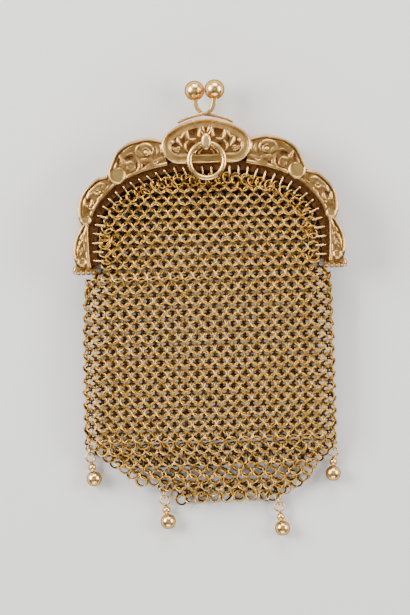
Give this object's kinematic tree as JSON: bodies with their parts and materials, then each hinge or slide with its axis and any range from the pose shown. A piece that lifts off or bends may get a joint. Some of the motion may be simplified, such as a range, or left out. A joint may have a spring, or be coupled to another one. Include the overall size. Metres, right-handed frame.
{
  "type": "metal mesh purse",
  "caption": "Coin purse of gold ring mesh on a scalloped, scroll-stamped frame, with a ball kiss-lock clasp, a carry ring and ball drops.",
  "frame": {"origin": "middle of the outline on the surface that the purse lies on, at the lowest point", "axes": "+X to the right of the front, +Y from the drops to the clasp, +Z out of the front, because the purse lies on its back"},
  "size_m": [0.0604, 0.1008, 0.0122],
  "materials": {
    "frame": "stamped and worn yellow gold, darker in the recesses",
    "mesh": "fine gold wire rings, softly worn",
    "polished": "polished gold with fine scratches"
  },
  "bodies": {
    "purse": {"frame_front": "frame", "frame_back": "frame", "hinge_pin_left": "polished", "hinge_pin_right": "polished", "clasp_arm_front": "polished", "clasp_arm_back": "polished", "mesh_bag": "mesh", "drop_link_1": "polished", "drop_link_2": "polished", "drop_link_3": "polished", "drop_link_4": "polished", "drop_1": "polished", "drop_2": "polished", "drop_3": "polished", "drop_4": "polished"},
    "ring": {"carry_ring": "polished"}
  },
  "joints": [
    {"name": "ring_swing", "type": "hinge", "parent": "purse", "child": "ring", "pos_m": [0, 0.03636, 0.01053], "axis": [-1, 0, 0], "range_deg": [0, 180]}
  ]
}
